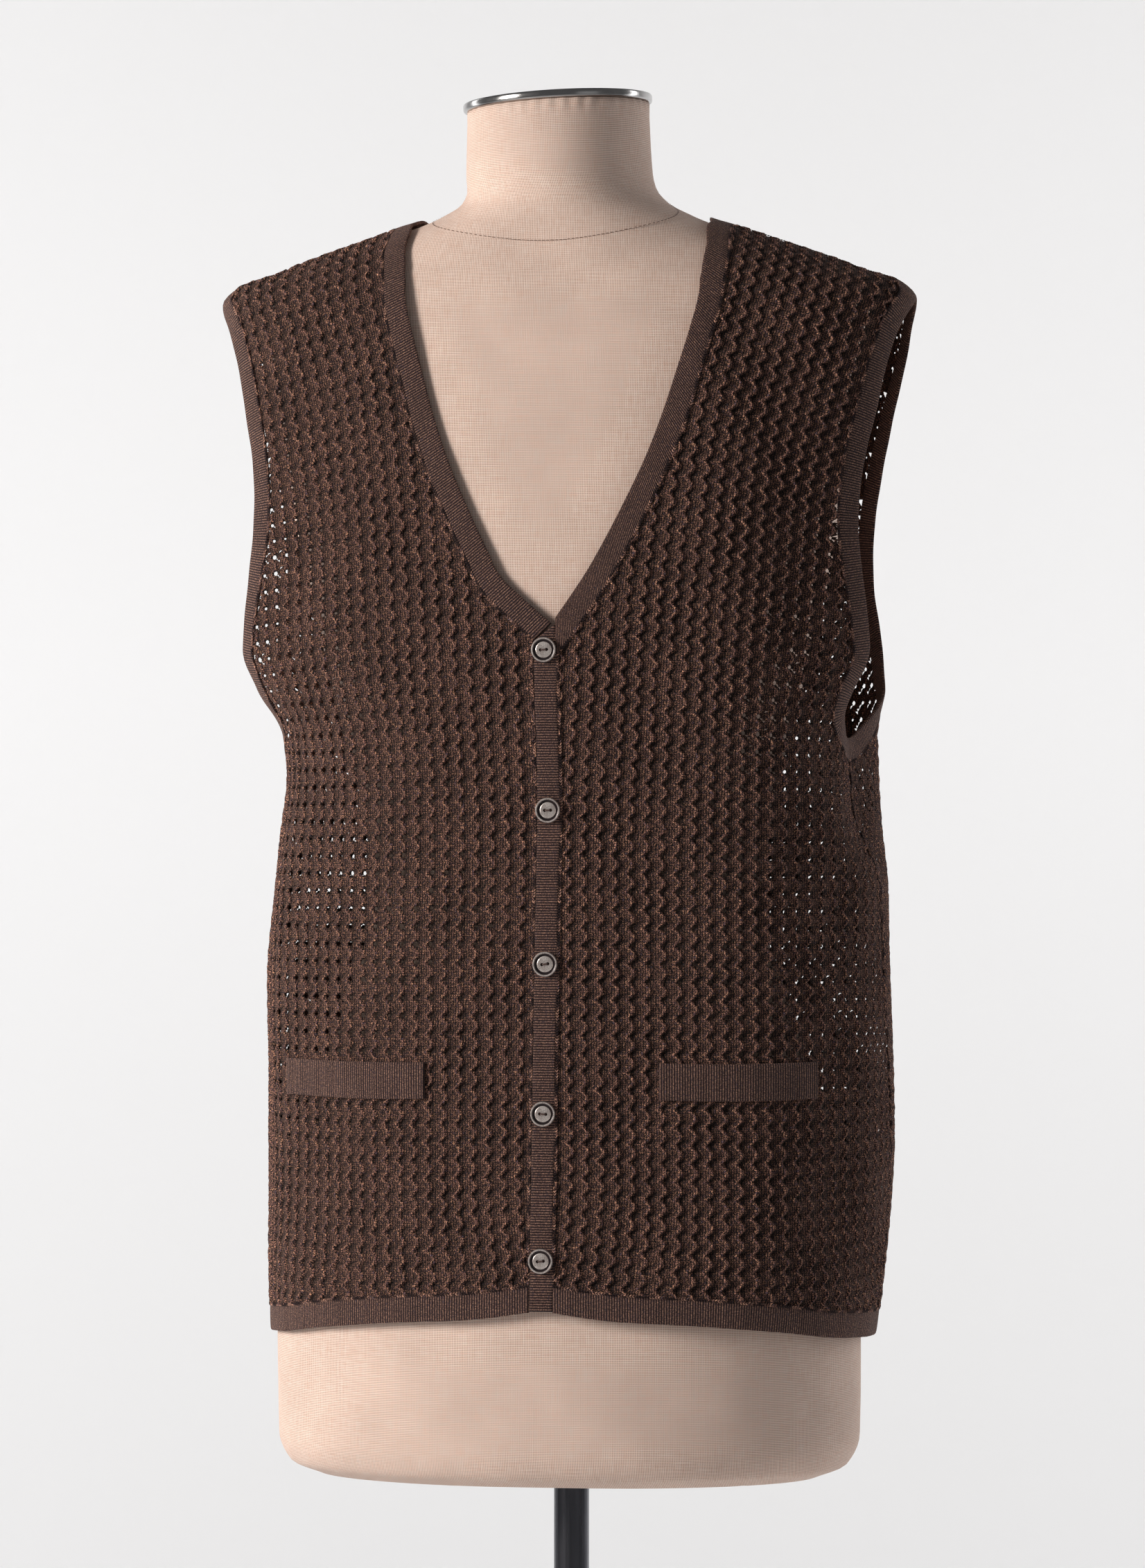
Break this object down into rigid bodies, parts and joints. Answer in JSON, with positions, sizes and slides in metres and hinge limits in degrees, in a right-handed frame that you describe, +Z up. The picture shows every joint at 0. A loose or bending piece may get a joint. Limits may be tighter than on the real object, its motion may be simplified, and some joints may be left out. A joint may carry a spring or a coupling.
{
  "type": "sleeveless cardigan on a dress form",
  "caption": "Sleeveless open-knit V-neck cardigan with rib bands, buttoned front and pocket welts, worn by a limbless dress form on a pole stand.",
  "frame": {"origin": "centre of the stand base's flat underside, on the floor", "axes": "+Z up along the pole, -Y out of the garment's front, +X towards the wearer's left"},
  "size_m": [0.4276, 0.32, 1.4987],
  "materials": {
    "knit": "dark brown open knit with wavy wales and eyelets, matt with a faint sheen",
    "rib": "dark brown fine rib knit, matt",
    "button": "grey-brown, raised rim, slightly metallic gloss",
    "linen": "pinkish beige coarse plain weave, matt",
    "cap_steel": "polished metal",
    "pole_steel": "dark blue-black metal tube",
    "base_metal": "satin black paint"
  },
  "bodies": {
    "root": {"front_right": "knit", "front_left": "knit", "back": "knit", "neck_band": "rib", "placket_right": "rib", "placket_left": "rib", "armhole_band_right": "rib", "armhole_band_left": "rib", "hem_band_right": "rib", "hem_band_left": "rib", "hem_band_back": "rib", "pocket_welt_right": "rib", "pocket_welt_left": "rib", "button_1": "button", "button_2": "button", "button_3": "button", "button_4": "button", "button_5": "button", "form_torso": "linen", "form_neck_cap": "cap_steel", "stand_pole": "pole_steel", "stand_base": "base_metal"}
  },
  "joints": []
}
